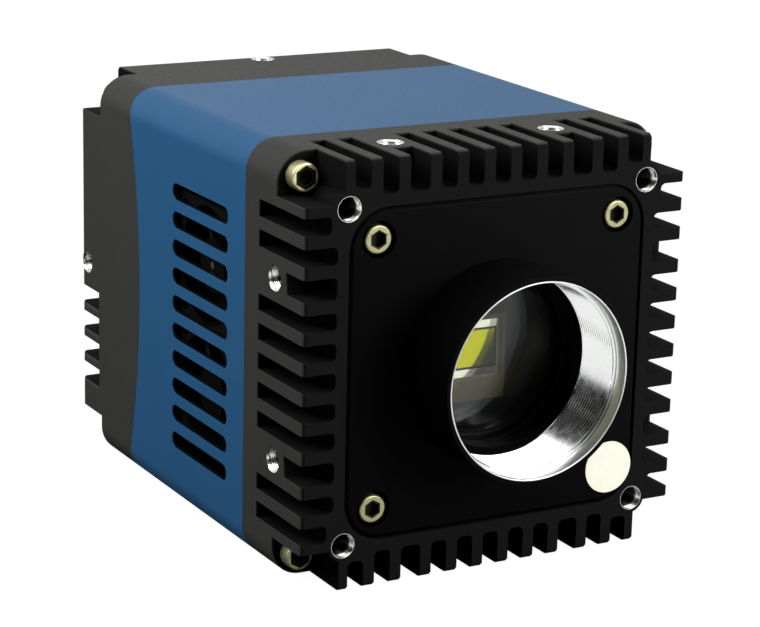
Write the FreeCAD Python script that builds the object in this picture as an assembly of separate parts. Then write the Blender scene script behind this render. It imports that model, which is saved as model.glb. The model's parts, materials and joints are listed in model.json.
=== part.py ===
import FreeCAD, Part
import math
import os

# Machine vision camera, in millimetres.
# The origin is the centre of the lens mount's front face. The optical axis runs along +Y into
# the body, +Z is up and +X is to the right seen from the front.

# Body
body_side = 80.0
body_corner = 6.0
front_edge = 0.7
rear_edge_round = 1.3
front_depth = 23.8
cover_length = 53.4
rear_depth = 24.3

# Lens plate with its collar
collar_length = 15.2
collar_radius = 19.4
plate_margin = 9.0
plate_corner = 7.8
plate_thickness = 6.0
plate_gap = 0.15
aperture_radius = 16.2

# Bright threaded liner of the mount
liner_radius = 18.55
liner_length = 13.7
register_radius = 18.26
register_length = 2.9
lens_thread_radius = 17.6

# Window in the plate
gasket_width = 0.8
window_thickness = 2.0
window_gap = 0.2
gasket_thickness = 0.5
retainer_thickness = 0.9
retainer_width = 1.6

# Fins and slots of the castings
fin = 2.32
end_fin = 1.82
wide_slot = 4.08
corner_block = 7.465
slot_depth = 6.6
end_slot_depth = 5.3
slot_run = 18.1
wide_slot_run = 7.2
slot_floor_round = 1.0
rear_slot_run = 9.0
rear_slot_start = 7.5
rear_slot_count = 4
tip_round = 0.9
tip_overlap = 0.1

# Corner pockets
front_pocket_depth = 11.5
rear_pocket_depth = 10.2
rear_pocket_side = 8.3
head_gap = 0.87

# Threaded holes with bright inserts
insert_radius = 2.5
corner_insert_radius = 2.37
insert_bore = 2.07
insert_wall = 0.6
hole_land = 1.135
corner_hole_depth = 8.0
side_hole_back = 11.5
side_hole_depth = 6.0
rear_hole_inset = 3.1

# Walls of the castings
casting_wall = 2.4
cavity_corner = 6.0
web_thickness = 2.8
light_opening = 15.0
rear_wall = 4.0

# Blue cover
cover_wall = 1.2
port_radius = 3.4
arch_rise = 5.6
arch_margin = 2.0
louvre_count = 10
louvre_height = 3.3
louvre_length = 24.8
louvre_inset = 7.2
louvre_drop = 1.0

# Socket head screws of the outside
screw_radius = 1.5
head_radius = 2.68
head_height = 3.0
head_chamfer = 0.25
hex_flats = 2.5
hex_depth = 1.8
head_recess = 0.2
counterbore_radius = 3.4
plate_screw_inset = 5.8
plate_screw_length = 8.0
corner_screw_length = 20.0
running = 0.02
passing = 0.1

# Round sticker
sticker_radius = 5.1
sticker_thickness = 0.18
sticker_inset_x = 5.35
sticker_inset_z = 6.8

# Image sensor
sensor_set_back = 9.25
active_width = 8.8
active_height = 6.6
die_border = 0.6
die_thickness = 0.6
package_half_width = 6.8
package_top = 6.4
package_bottom = -10.0
package_thickness = 2.0
package_lip = 0.9
glass_thickness = 0.4
board_thickness = 1.6
sensor_board_gap = 0.8
sensor_screw_inset = 3.0
sensor_boss_radius = 2.6
pad_gap = 1.5
pad_thickness = 2.0
spreader_thickness = 2.0
plate_edge_gap = 2.0
boss_radius = 3.4

# Small screws of the inside
small_screw_radius = 1.0
small_head_radius = 1.9
small_head_height = 1.3
fan_screw_length = 6.0
screw_tip_gap = 0.6

# Board connectors
plug_half_width = 11.0
plug_height = 5.0
plug_edge_gap = 8.0
plug_clear = 1.8
plug_length = 8.0
connector_wall = 0.8

# Processor board and what it carries
standoff_flats = 5.0
standoff_length = 9.0
stud_length = 4.0
main_board_gap = 1.0
board_screw_length = 6.0
board_head_radius = 2.4
board_head_height = 1.6
chip_half = 12.5
chip_thickness = 2.4
memory_width = 9.0
memory_height = 7.5
memory_thickness = 1.1
sink_fan_gap = 11.3
sink_riser_gap = 1.0
sink_half_height = 18.0
sink_base = 3.0
sink_height = 16.0
sink_fin = 1.2
sink_fin_count = 9

# Fans behind the left louvres
fan_side = 25.0
fan_thickness = 10.0
fan_bore = 11.6
fan_gap = 0.5
fan_spacing = 25.2
fan_hole_place = 10.0
fan_corner = 2.0
hub_radius = 5.3
hub_wall = 0.8
hub_front = 1.0
hub_length = 7.2
hub_plate = 1.2
blade_count = 7
blade_tip_place = 10.6
blade_chord = 6.8
blade_thickness = 0.6
blade_root_turn = 40.0
blade_tip_turn = 55.0
blade_bite = 0.6
strut_width = 1.6
strut_bite = 0.4
post_radius = 2.4
bearing_radius = 1.7
shaft_radius = 0.75
shaft_clearance = 0.05
coil_radius = 4.2
coil_gap = 0.4
post_gap = 1.0
shaft_end_gap = 0.2
bracket_thickness = 1.0
bracket_flange = 7.3
bracket_rim = 1.0
bracket_relief = 0.4

# Riser and interface boards
riser_inset = 3.2
riser_half_height = 18.0
riser_plug_height = 5.0
riser_plug_half = 2.8
riser_plug_gap = 1.2
interface_gap = 11.1
choke_start = -16.0
choke_count = 2
choke_pitch = 12.0
capacitor_x = 10.0
choke_radius = 5.0
choke_height = 7.0

# Sockets on the rear face
data_count = 4
data_pitch = 13.0
data_z = 9.0
data_radius = 4.0
data_bore = 3.1
data_reach = 6.0
data_bore_depth = 9.0
data_pin_radius = 0.5
data_pin_recess = 1.0
data_foot_gap = 0.6
data_collar = 1.0
lug_reach = 0.6
lug_width = 1.0
lug_inset = 1.2
nut_flats = 11.0
nut_thickness = 2.0
power_x = -12.0
power_z = -12.0
power_body_radius = 6.9
power_flange_radius = 8.2
power_flange_thickness = 1.5
power_barrel_radius = 6.4
power_bore = 5.4
power_reach = 5.0
power_thread_past = 1.0
power_key_half = 0.7
power_key_start = 1.0
power_key_depth = 0.6
power_key_overlap = 0.5
power_pin_radius = 0.4
power_pin_depth = 4.0
power_pin_recess = 1.5
outer_pin_count = 9
outer_pin_ring = 3.6
inner_pin_count = 3
inner_pin_ring = 1.3
power_nut_flats = 16.0
light_x = 12.0
light_radius = 1.6
light_reach = 0.6
light_chamfer = 0.4

# Places along the optical axis
half_side = body_side / 2
face_y = collar_length
cover_front_y = face_y + front_depth
cover_rear_y = cover_front_y + cover_length
back_y = cover_rear_y + rear_depth
plate_back_y = face_y + plate_thickness
plate_seat_y = face_y + head_recess + head_height
web_back_y = plate_back_y + web_thickness
sensor_y = face_y + sensor_set_back
package_front_y = sensor_y - glass_thickness
package_back_y = package_front_y + package_thickness + glass_thickness + die_thickness
sensor_board_back_y = package_back_y + board_thickness
sensor_screw_length = sensor_board_back_y - web_back_y - screw_tip_gap
spreader_front_y = sensor_board_back_y + pad_thickness
spreader_back_y = spreader_front_y + spreader_thickness
main_board_y = spreader_back_y + standoff_length
main_board_back_y = main_board_y + board_thickness
front_pocket_y = face_y + front_pocket_depth
rear_pocket_y = back_y - rear_pocket_depth
rear_wall_y = back_y - rear_wall
interface_back_y = rear_wall_y - interface_gap
interface_y = interface_back_y - board_thickness
window_front_y = plate_back_y - retainer_thickness - window_thickness
gasket_front_y = window_front_y - gasket_thickness
louvre_front_y = cover_front_y + louvre_inset
louvre_middle_y = louvre_front_y + louvre_length / 2

# Places across the body
fin_edge = half_side - corner_block
wide_pitch = fin + wide_slot
window_radius = aperture_radius + gasket_width
pitch = (fin_edge - wide_pitch - fin / 2) / 4.5
slot = pitch - fin
wide_slot_place = 2.5 * pitch + wide_pitch / 2
front_pocket_edge = fin_edge - fin + end_fin
port_place = front_pocket_edge + head_radius + head_gap
rear_pocket_edge = half_side - rear_pocket_side
plate_half = half_side - plate_margin
corner_reach = plate_corner + plate_gap + hole_land + corner_insert_radius
corner_hole_place = plate_half - plate_corner + corner_reach / math.sqrt(2)
plate_screw_place = plate_half - plate_screw_inset
sticker_x = plate_half - sticker_inset_x
sticker_z = sticker_inset_z - plate_half
slot_floor = half_side - slot_depth
cavity_half = slot_floor - casting_wall
inner_half = half_side - cover_wall
spreader_half = cavity_half - plate_edge_gap
interface_board_half = cavity_half - plate_edge_gap
main_board_half = cavity_half - main_board_gap
sensor_board_half = plate_screw_place - boss_radius - sensor_board_gap
sensor_screw_place = sensor_board_half - sensor_screw_inset
plug_drop = sensor_board_half - plug_edge_gap
pad_half = plug_drop - plug_height / 2 - pad_gap
fan_x = -inner_half + fan_gap
bracket_x = fan_x + fan_thickness
riser_x = main_board_half - riser_inset
sink_left_x = bracket_x + sink_fan_gap
sink_right_x = riser_x - riser_plug_half - sink_riser_gap
chip_x = (sink_left_x + sink_right_x) / 2
spill = 2.0

DEPTH = FreeCAD.Vector(0, 1, 0)
ACROSS = FreeCAD.Vector(1, 0, 0)
UP = FreeCAD.Vector(0, 0, 1)
ORIGIN = FreeCAD.Vector(0, 0, 0)
CORNERS = ((1, 1), (-1, 1), (-1, -1), (1, -1))


def vec(x, y, z):
    return FreeCAD.Vector(x, y, z)


def block(x0, x1, y0, y1, z0, z1):
    return Part.makeBox(x1 - x0, y1 - y0, z1 - z0, vec(x0, y0, z0))


def rod(radius, y0, y1, x=0.0, z=0.0):
    """A round bar along the depth."""
    return Part.makeCylinder(radius, y1 - y0, vec(x, y0, z), DEPTH)


def cross_rod(radius, x0, x1, y=0.0, z=0.0):
    """A round bar across the body."""
    return Part.makeCylinder(radius, x1 - x0, vec(x0, y, z), ACROSS)


def ring(outer, inner, y0, y1, x=0.0, z=0.0):
    return rod(outer, y0, y1, x, z).cut(rod(inner, y0, y1, x, z))


def turned(profile):
    """Turn an outline of radius and depth pairs about the optical axis."""
    points = [vec(radius, y, 0) for radius, y in profile]
    points.append(points[0])
    face = Part.Face(Part.makePolygon(points))
    return face.revolve(ORIGIN, DEPTH, 360)


def hexagon(flats, y0, y1, x=0.0, z=0.0):
    """A six-sided bar along the depth."""
    radius = flats / math.sqrt(3)
    points = []
    for step in range(7):
        angle = math.radians(60 * step + 30)
        points.append(vec(x + radius * math.cos(angle), y0, z + radius * math.sin(angle)))
    return Part.Face(Part.makePolygon(points)).extrude(vec(0, y1 - y0, 0))


def edges_along(solid, direction):
    found = []
    for edge in solid.Edges:
        straight = isinstance(edge.Curve, Part.Line)
        if straight and abs(edge.tangentAt(edge.FirstParameter).dot(direction)) > 0.999:
            found.append(edge)
    return found


def edges_at_depth(solid, y):
    found = []
    for edge in solid.Edges:
        if abs(edge.BoundBox.YMin - y) < 1e-4 and abs(edge.BoundBox.YMax - y) < 1e-4:
            found.append(edge)
    return found


def soft_square(half, corner, y0, y1):
    """A square bar along the depth with round corners."""
    bar = block(-half, half, y0, y1, -half, half)
    return bar.makeFillet(corner, edges_along(bar, DEPTH))


def slab(half_width, half_height, y0, thickness):
    """A flat rectangular board or plate that faces forward."""
    return block(-half_width, half_width, y0, y0 + thickness, -half_height, half_height)


def at_corners(make, place):
    """One copy at each corner of a square, as a list."""
    return [make(side_x * place, side_z * place) for side_x, side_z in CORNERS]


def turn_about_axis(shape, quarter):
    copy = shape.copy()
    copy.rotate(ORIGIN, DEPTH, 90 * quarter)
    return copy


def on_four_sides(shapes):
    """Copies of what is made on the right side, on all four sides."""
    return [turn_about_axis(shape, quarter) for shape in shapes for quarter in range(4)]


def mirrored(shape):
    """The copy on the other side of the body, left for right."""
    return shape.mirror(ORIGIN, ACROSS)


def group(solids):
    return Part.makeCompound(solids)


def joined(shape, additions):
    return shape.fuse(additions).removeSplitter()


# Fasteners

def cap_screw(seat_y, length, x, z, backward=False):
    """A socket head screw. Its head rests at seat_y and its shank runs on into the body."""
    head = rod(head_radius, -head_height, 0)
    rim = edges_at_depth(head, -head_height)
    head = head.makeChamfer(head_chamfer, rim)
    head = head.cut(hexagon(hex_flats, -head_height, hex_depth - head_height))
    screw = head.fuse(rod(screw_radius, 0, length))
    if backward:
        screw.rotate(ORIGIN, UP, 180)
    screw.translate(vec(x, seat_y, z))
    return screw


def pan_screw(seat_y, length, radius, top_radius, top_height, x, z, backward=False):
    """A small screw with a plain head, pointing into the body or, backward, to the front."""
    screw = rod(top_radius, -top_height, 0).fuse(rod(radius, 0, length))
    if backward:
        screw.rotate(ORIGIN, UP, 180)
    screw.translate(vec(x, seat_y, z))
    return screw


def thread_insert(depth):
    """The bright threaded sleeve of one hole, with its mouth at zero and running to +Y."""
    return ring(insert_radius, insert_bore, 0, depth)


def insert_on_side(y, z, quarter):
    insert = thread_insert(side_hole_depth)
    insert.rotate(ORIGIN, UP, 90)
    insert.translate(vec(half_side, y, z))
    return turn_about_axis(insert, quarter)


# Slots and pockets of the castings

def slot_space(centre, width, floor, y0, y1):
    """The space of one slot on the right side, with its floor corners rounded."""
    bar = block(floor, half_side + spill, y0, y1, centre - width / 2, centre + width / 2)
    deep = [edge for edge in edges_along(bar, DEPTH) if edge.BoundBox.XMax < floor + 1e-4]
    return bar.makeFillet(min(slot_floor_round, 0.45 * width), deep)


def front_slots():
    """The eleven slots of one side: nine long ones and two short wide ones."""
    floor = slot_floor
    end_floor = half_side - end_slot_depth
    y0 = face_y - spill
    y1 = face_y + slot_run
    spaces = [slot_space(0, slot, floor, y0, y1)]
    for side in (-1, 1):
        for centre in (pitch, 2 * pitch, 3 * pitch + wide_pitch):
            spaces.append(slot_space(side * centre, slot, floor, y0, y1))
        spaces.append(slot_space(side * (4 * pitch + wide_pitch), slot, end_floor, y0, y1))
        short_end = face_y + wide_slot_run
        spaces.append(slot_space(side * wide_slot_place, wide_slot, floor, y0, short_end))
    return spaces


def rear_slots():
    """The slots low on one side of the rear casting, with their fin tips rounded."""
    spaces = []
    for step in range(rear_slot_count):
        centre = -rear_slot_start - step * pitch
        y0 = back_y - rear_slot_run
        spaces.append(slot_space(centre, slot, slot_floor, y0, back_y + spill))
        for side in (-1, 1):
            edge_z = centre + side * slot / 2
            spaces.append(tip_relief(edge_z, side, y0))
    return spaces


def tip_relief(edge_z, side, y0):
    """What rounds the edge of a fin tip beside a rear slot."""
    reach = tip_round + spill
    outer_z = edge_z + side * tip_round
    inner_z = edge_z - side * tip_overlap
    low_z = min(outer_z, inner_z)
    high_z = max(outer_z, inner_z)
    bar = block(half_side - tip_round, half_side + reach, y0, back_y + spill, low_z, high_z)
    return bar.cut(rod(tip_round, y0 - spill, back_y + 2 * spill, half_side - tip_round, outer_z))


def pocket(side_x, side_z, edge, y0, y1):
    """The square corner pocket, open to the outside and to one end."""
    reach = half_side + spill
    xs = sorted((side_x * edge, side_x * reach))
    zs = sorted((side_z * edge, side_z * reach))
    return block(xs[0], xs[1], y0, y1, zs[0], zs[1])


def front_pocket(side_x, side_z):
    """A front pocket leaves a round boss standing about the corner hole."""
    space = pocket(side_x, side_z, front_pocket_edge, face_y - spill, front_pocket_y)
    boss = rod(corner_insert_radius + insert_wall, face_y - 2 * spill, front_pocket_y + spill,
               side_x * corner_hole_place, side_z * corner_hole_place)
    return space.cut(boss)


def side_hole(y, z):
    """A threaded hole's space in the right side."""
    start = half_side - side_hole_depth
    return cross_rod(insert_radius + running, start, half_side + spill, y, z)


# Castings and cover

def make_front_housing():
    body = soft_square(half_side, body_corner, face_y, cover_front_y)
    body = body.makeChamfer(front_edge, edges_at_depth(body, face_y))
    cavity = soft_square(cavity_half, cavity_corner, web_back_y, cover_front_y + spill)
    recess = soft_square(plate_half + plate_gap, plate_corner + plate_gap,
                         face_y - spill, plate_back_y)
    light = rod(light_opening, plate_back_y - spill, web_back_y + spill)
    spaces = [cavity, recess, light]
    spaces += on_four_sides(front_slots())
    spaces += [front_pocket(side_x, side_z) for side_x, side_z in CORNERS]
    hole_y = face_y + side_hole_back
    spaces += on_four_sides([side_hole(hole_y, side * wide_slot_place) for side in (-1, 1)])
    body = body.cut(spaces)
    bosses = at_corners(lambda x, z: rod(boss_radius, web_back_y, spreader_front_y, x, z),
                        plate_screw_place)
    bosses += at_corners(lambda x, z: rod(sensor_boss_radius, web_back_y, package_back_y, x, z),
                         sensor_screw_place)
    body = joined(body, bosses)
    thread = screw_radius + running
    holes = at_corners(lambda x, z: rod(corner_insert_radius + running, face_y - spill,
                                        face_y + corner_hole_depth, x, z), corner_hole_place)
    holes += at_corners(lambda x, z: rod(thread, plate_back_y - spill,
                                         spreader_front_y + spill, x, z), plate_screw_place)
    holes += at_corners(lambda x, z: rod(small_screw_radius + running, web_back_y,
                                         package_back_y + spill, x, z), sensor_screw_place)
    holes += at_corners(lambda x, z: rod(screw_radius + passing, front_pocket_y - spill,
                                         cover_front_y + spill, x, z), port_place)
    return body.cut(holes)


def arch_space():
    """The large cylinder whose curve shapes the side seams of the cover and rear casting."""
    half = half_side - arch_margin
    radius = (half * half + arch_rise * arch_rise) / (2 * arch_rise)
    middle_y = cover_rear_y - arch_rise + radius
    reach = half_side + spill
    return cross_rod(radius, -reach, reach, middle_y, 0)


def louvre(z):
    """One long slot with round ends through the right wall of the cover."""
    radius = louvre_height / 2
    x0 = inner_half - spill
    x1 = half_side + spill
    y0 = louvre_front_y + radius
    y1 = louvre_front_y + louvre_length - radius
    middle = block(x0, x1, y0, y1, z - radius, z + radius)
    ends = [cross_rod(radius, x0, x1, y0, z), cross_rod(radius, x0, x1, y1, z)]
    return middle.fuse(ends).removeSplitter()


def make_cover():
    outer = soft_square(half_side, body_corner, cover_front_y, cover_rear_y)
    inner = soft_square(inner_half, body_corner - cover_wall,
                        cover_front_y - spill, cover_rear_y + spill)
    ports = at_corners(lambda x, z: rod(port_radius, cover_front_y, cover_rear_y, x, z),
                       port_place)
    ports = [port.common(outer) for port in ports]
    sleeve = joined(outer.cut(inner), ports)
    spaces = at_corners(lambda x, z: rod(screw_radius + running, cover_front_y - spill,
                                         cover_rear_y + spill, x, z), port_place)
    for step in range(louvre_count):
        z = (step - (louvre_count - 1) / 2) * pitch - louvre_drop
        spaces.append(louvre(z))
        spaces.append(mirrored(louvre(z)))
    spaces.append(arch_space())
    return sleeve.cut(spaces)


def make_rear_housing():
    body = soft_square(half_side, body_corner, cover_rear_y, back_y)
    body = body.makeFillet(rear_edge_round, edges_at_depth(body, back_y))
    bulge_y = cover_rear_y - arch_rise
    bulge = soft_square(half_side, body_corner, bulge_y, cover_rear_y).common(arch_space())
    body = joined(body, [bulge])
    cavity = soft_square(cavity_half, cavity_corner, bulge_y - spill, rear_wall_y)
    right_slots = rear_slots()
    spaces = [cavity] + right_slots
    spaces += [mirrored(space) for space in right_slots]
    spaces += [pocket(side_x, side_z, rear_pocket_edge, rear_pocket_y, back_y + spill)
               for side_x, side_z in CORNERS]
    spaces += on_four_sides([side_hole(back_y - rear_hole_inset, 0)])
    body = body.cut(spaces)
    bosses = at_corners(lambda x, z: rod(boss_radius, interface_back_y, rear_wall_y, x, z),
                        plate_screw_place)
    body = joined(body, bosses)
    through = back_y + spill
    holes = at_corners(lambda x, z: rod(screw_radius + passing, cover_rear_y - spill,
                                        rear_pocket_y + spill, x, z), port_place)
    holes += at_corners(lambda x, z: rod(screw_radius + running, interface_back_y - spill,
                                         rear_wall_y, x, z), plate_screw_place)
    for x in data_places():
        holes.append(rod(data_radius + passing, rear_wall_y - spill, through, x, data_z))
    holes.append(rod(power_body_radius + passing, rear_wall_y - spill, through,
                     power_x, power_z))
    holes.append(rod(light_radius + passing, rear_wall_y - spill, through, light_x, power_z))
    return body.cut(holes)


# Lens plate, liner and window

def make_lens_plate():
    plate = soft_square(plate_half, plate_corner, face_y, plate_back_y)
    plate = joined(plate, [rod(collar_radius, 0, face_y + plate_thickness / 2)])
    bore = [rod(liner_radius + running, -spill, liner_length),
            rod(aperture_radius, -spill, plate_back_y + spill),
            rod(window_radius + window_gap, gasket_front_y, plate_back_y + spill)]
    bore += at_corners(lambda x, z: rod(counterbore_radius, face_y - spill, plate_seat_y, x, z),
                       plate_screw_place)
    bore += at_corners(lambda x, z: rod(screw_radius + passing, face_y - spill,
                                        plate_back_y + spill, x, z), plate_screw_place)
    return plate.cut(bore)


def make_mount_ring():
    return turned([(register_radius, 0), (liner_radius, 0), (liner_radius, liner_length),
                   (lens_thread_radius, liner_length), (lens_thread_radius, register_length),
                   (register_radius, register_length)])


def make_window_retainer():
    outer = window_radius + window_gap - running
    body = ring(outer, outer - retainer_width, plate_back_y - retainer_thickness, plate_back_y)
    notch = block(-outer - spill, outer + spill, plate_back_y - retainer_thickness / 2,
                  plate_back_y + spill, -retainer_width / 2, retainer_width / 2)
    return body.cut(notch)


# Image sensor and its board

def make_sensor_package():
    """The ceramic carrier, with a well for the chip and a ledge for its cover glass."""
    body = block(-package_half_width, package_half_width, package_front_y, package_back_y,
                 package_bottom, package_top)
    half_x = active_width / 2 + die_border + running
    half_z = active_height / 2 + die_border + running
    well = block(-half_x, half_x, package_front_y - spill, sensor_y + die_thickness,
                 -half_z, half_z)
    ledge_x = package_half_width - package_lip
    ledge_z = package_top - package_lip
    ledge = block(-ledge_x, ledge_x, package_front_y - spill, sensor_y - running,
                  -ledge_z, ledge_z)
    return body.cut([well, ledge])


def make_sensor_cover_glass():
    half_x = package_half_width - package_lip - running
    half_z = package_top - package_lip - running
    return slab(half_x, half_z, package_front_y, glass_thickness - running)


def make_sensor_die():
    half_x = active_width / 2 + die_border
    half_z = active_height / 2 + die_border
    return slab(half_x, half_z, sensor_y, die_thickness)


def make_sensor_board():
    board = slab(sensor_board_half, sensor_board_half, package_back_y, board_thickness)
    holes = at_corners(lambda x, z: rod(small_screw_radius + passing, package_back_y - spill,
                                        sensor_board_back_y + spill, x, z), sensor_screw_place)
    return board.cut(holes)


def make_heat_spreader():
    """The plate that carries the sensor's heat out to the casting."""
    plate = slab(spreader_half, spreader_half, spreader_front_y, spreader_thickness)
    clear = spreader_back_y + spill
    spaces = at_corners(lambda x, z: rod(screw_radius + passing, spreader_front_y - spill,
                                         clear, x, z), plate_screw_place)
    reach_x = plug_half_width + plug_clear
    reach_z = plug_height / 2 + plug_clear
    spaces.append(block(-reach_x, reach_x, spreader_front_y - spill, clear,
                        -plug_drop - reach_z, -plug_drop + reach_z))
    return plate.cut(spaces)


def make_sensor_plug():
    """The plug on the back of the sensor board, with its row of contacts standing proud."""
    z0 = -plug_drop - plug_height / 2
    end_y = sensor_board_back_y + plug_length
    body = block(-plug_half_width, plug_half_width, sensor_board_back_y, end_y,
                 z0, z0 + plug_height)
    tongue_z = plug_height / 2 - connector_wall - running
    tongue = block(-plug_half_width + connector_wall, plug_half_width - connector_wall,
                   end_y, (end_y + main_board_y) / 2, -plug_drop - tongue_z, -plug_drop + tongue_z)
    return joined(body, [tongue])


def make_sensor_receptacle():
    z0 = -plug_drop - plug_height / 2
    start_y = sensor_board_back_y + plug_length
    body = block(-plug_half_width, plug_half_width, start_y, main_board_y, z0, z0 + plug_height)
    well_z = plug_height / 2 - connector_wall
    well_x = plug_half_width - connector_wall + running
    well = block(-well_x, well_x, start_y - spill, (start_y + main_board_y) / 2 + running,
                 -plug_drop - well_z, -plug_drop + well_z)
    return body.cut(well)


# Processor board

def standoff(x, z):
    """A hexagonal pillar with a stud at its front and a threaded hole at its back."""
    body = hexagon(standoff_flats, spreader_back_y, main_board_y, x, z)
    body = body.fuse(rod(screw_radius, spreader_back_y - stud_length, spreader_back_y, x, z))
    hole = rod(small_screw_radius + running, main_board_y - board_screw_length,
               main_board_y + spill, x, z)
    return body.cut(hole)


def board_screw(x, z):
    """The left pair also holds the foot of the fan bracket."""
    seat = main_board_back_y
    if x < 0:
        seat += bracket_thickness
    screw = pan_screw(seat, board_screw_length, small_screw_radius, board_head_radius,
                      board_head_height, x, z, backward=True)
    return screw


def make_processor_board():
    board = slab(main_board_half, main_board_half, main_board_y, board_thickness)
    holes = at_corners(lambda x, z: rod(small_screw_radius + passing, main_board_y - spill,
                                        main_board_back_y + spill, x, z), plate_screw_place)
    return board.cut(holes)


def make_processor_chip():
    return block(chip_x - chip_half, chip_x + chip_half, main_board_back_y,
                 main_board_back_y + chip_thickness, -chip_half, chip_half)


def make_memory_chips():
    """Four memory chips above and below the processor."""
    chips = []
    y0 = main_board_back_y
    z0 = chip_half + (main_board_half - chip_half - memory_height) / 2
    for side in (-1, 1):
        for x in (chip_x - memory_width, chip_x + memory_width):
            low = side * (z0 + memory_height / 2) - memory_height / 2
            chips.append(block(x - memory_width / 2, x + memory_width / 2, y0,
                               y0 + memory_thickness, low, low + memory_height))
    return group(chips)


def make_heat_sink():
    """Fins that run across the body, in line with the air from the fans."""
    y0 = main_board_back_y + chip_thickness
    x0 = sink_left_x
    x1 = sink_right_x
    base = block(x0, x1, y0, y0 + sink_base, -sink_half_height, sink_half_height)
    step = (2 * sink_half_height - sink_fin) / (sink_fin_count - 1)
    fins = []
    for index in range(sink_fin_count):
        z = -sink_half_height + index * step
        fins.append(block(x0, x1, y0 + sink_base, y0 + sink_height, z, z + sink_fin))
    return joined(base, fins)


# Fans, made about their own centre and then set behind the louvres

def fan_places():
    """Name and height of each fan."""
    middle = -louvre_drop
    return (("upper", middle + fan_spacing / 2), ("lower", middle - fan_spacing / 2))


def set_fan(shape, z):
    shape.translate(vec(fan_x, louvre_middle_y, z))
    return shape


def fan_frame():
    half = fan_side / 2
    body = block(0, fan_thickness, -half, half, -half, half)
    body = body.makeFillet(fan_corner, edges_along(body, ACROSS))
    spaces = [cross_rod(fan_bore, -spill, fan_thickness + spill)]
    for side_y, side_z in CORNERS:
        spaces.append(cross_rod(small_screw_radius + running, -spill, fan_thickness + spill,
                                side_y * fan_hole_place, side_z * fan_hole_place))
    body = body.cut(spaces)
    x0 = fan_thickness - hub_plate
    middle = cross_rod(hub_radius, x0, fan_thickness)
    post = cross_rod(post_radius, post_start(), x0)
    reach = fan_bore + strut_bite
    cross = [block(x0, fan_thickness, -reach, reach, -strut_width / 2, strut_width / 2),
             block(x0, fan_thickness, -strut_width / 2, strut_width / 2, -reach, reach)]
    body = joined(body, [middle, post] + cross)
    well = cross_rod(bearing_radius + running, post_start() - spill, x0)
    return body.cut(well)


def post_start():
    return hub_front + hub_wall + post_gap


def fan_bearing():
    x0 = post_start()
    x1 = fan_thickness - hub_plate
    outer = cross_rod(bearing_radius, x0, x1)
    return outer.cut(cross_rod(shaft_radius + shaft_clearance, x0, x1))


def fan_coil():
    """The wound ring about the post, inside the hub."""
    x0 = post_start() + coil_gap
    x1 = fan_thickness - hub_plate
    outer = cross_rod(coil_radius, x0, x1)
    return outer.cut(cross_rod(post_radius + running, x0, x1))


def blade_section(place, turn):
    """The outline of a blade at one distance from the shaft."""
    middle_x = hub_front + hub_length / 2
    along = vec(math.cos(math.radians(turn)), math.sin(math.radians(turn)), 0)
    normal = vec(-along.y, along.x, 0)
    points = []
    for chord, side in ((-1, -1), (1, -1), (1, 1), (-1, 1)):
        point = vec(middle_x, 0, place)
        point = point + along * (chord * blade_chord / 2)
        point = point + normal * (side * blade_thickness / 2)
        points.append(point)
    points.append(points[0])
    return Part.makePolygon(points)


def fan_rotor():
    """A hub cup that carries seven twisted blades."""
    cup = cross_rod(hub_radius, hub_front, hub_front + hub_length)
    inside = cross_rod(hub_radius - hub_wall, hub_front + hub_wall, hub_front + hub_length + spill)
    root = hub_radius - blade_bite
    blade = Part.makeLoft([blade_section(root, blade_root_turn),
                           blade_section(blade_tip_place, blade_tip_turn)], True, True)
    blades = []
    for index in range(blade_count):
        copy = blade.copy()
        copy.rotate(ORIGIN, ACROSS, 360.0 / blade_count * index)
        blades.append(copy)
    rotor = joined(cup, blades)
    return rotor.cut([inside, cross_rod(shaft_radius, -spill, hub_front + 2 * hub_wall)])


def fan_shaft():
    end = fan_thickness - hub_plate - shaft_end_gap
    return cross_rod(shaft_radius, hub_front, end)


def make_fan_bracket():
    """A bent plate: one leg carries the fans, the other lies on the processor board."""
    half_z = fan_spacing / 2 + fan_side / 2 + bracket_rim
    top_y = louvre_middle_y + fan_side / 2 + bracket_rim
    wall = block(bracket_x, bracket_x + bracket_thickness, main_board_back_y, top_y,
                 -louvre_drop - half_z, -louvre_drop + half_z)
    foot_z = plate_screw_place + board_head_radius
    foot = block(bracket_x, bracket_x + bracket_flange, main_board_back_y,
                 main_board_back_y + bracket_thickness, -foot_z, foot_z)
    bracket = joined(wall, [foot])
    spaces = []
    x1 = bracket_x + bracket_thickness
    relief_y = main_board_back_y + bracket_thickness + board_head_height + bracket_relief
    relief_z = plate_screw_place - board_head_radius - bracket_relief
    for side in (-1, 1):
        zs = sorted((side * relief_z, side * (foot_z + spill)))
        spaces.append(block(bracket_x - spill, x1 + bracket_relief,
                            main_board_back_y + bracket_thickness,
                            relief_y, zs[0], zs[1]))
        spaces.append(rod(small_screw_radius + passing, main_board_y, relief_y,
                          -plate_screw_place, side * plate_screw_place))
    for name, z in fan_places():
        spaces.append(cross_rod(fan_bore, bracket_x - spill, x1 + spill, louvre_middle_y, z))
        for side_y, side_z in CORNERS:
            spaces.append(cross_rod(small_screw_radius + passing, bracket_x - spill, x1 + spill,
                                    louvre_middle_y + side_y * fan_hole_place,
                                    z + side_z * fan_hole_place))
    return bracket.cut(spaces)


def make_fan_screws():
    """Screws through the bracket into the corners of the fans."""
    screws = []
    seat = bracket_x + bracket_thickness
    for name, z in fan_places():
        for side_y, side_z in CORNERS:
            y = louvre_middle_y + side_y * fan_hole_place
            place_z = z + side_z * fan_hole_place
            head = cross_rod(small_head_radius, seat, seat + small_head_height, y, place_z)
            shank = cross_rod(small_screw_radius, seat - fan_screw_length, seat, y, place_z)
            screws.append(head.fuse(shank))
    return group(screws)


# Riser, interface board and the rear sockets

def riser_ends():
    """Where the riser board starts and ends in its two connectors."""
    return main_board_back_y + riser_plug_gap, interface_y - riser_plug_gap


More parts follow.
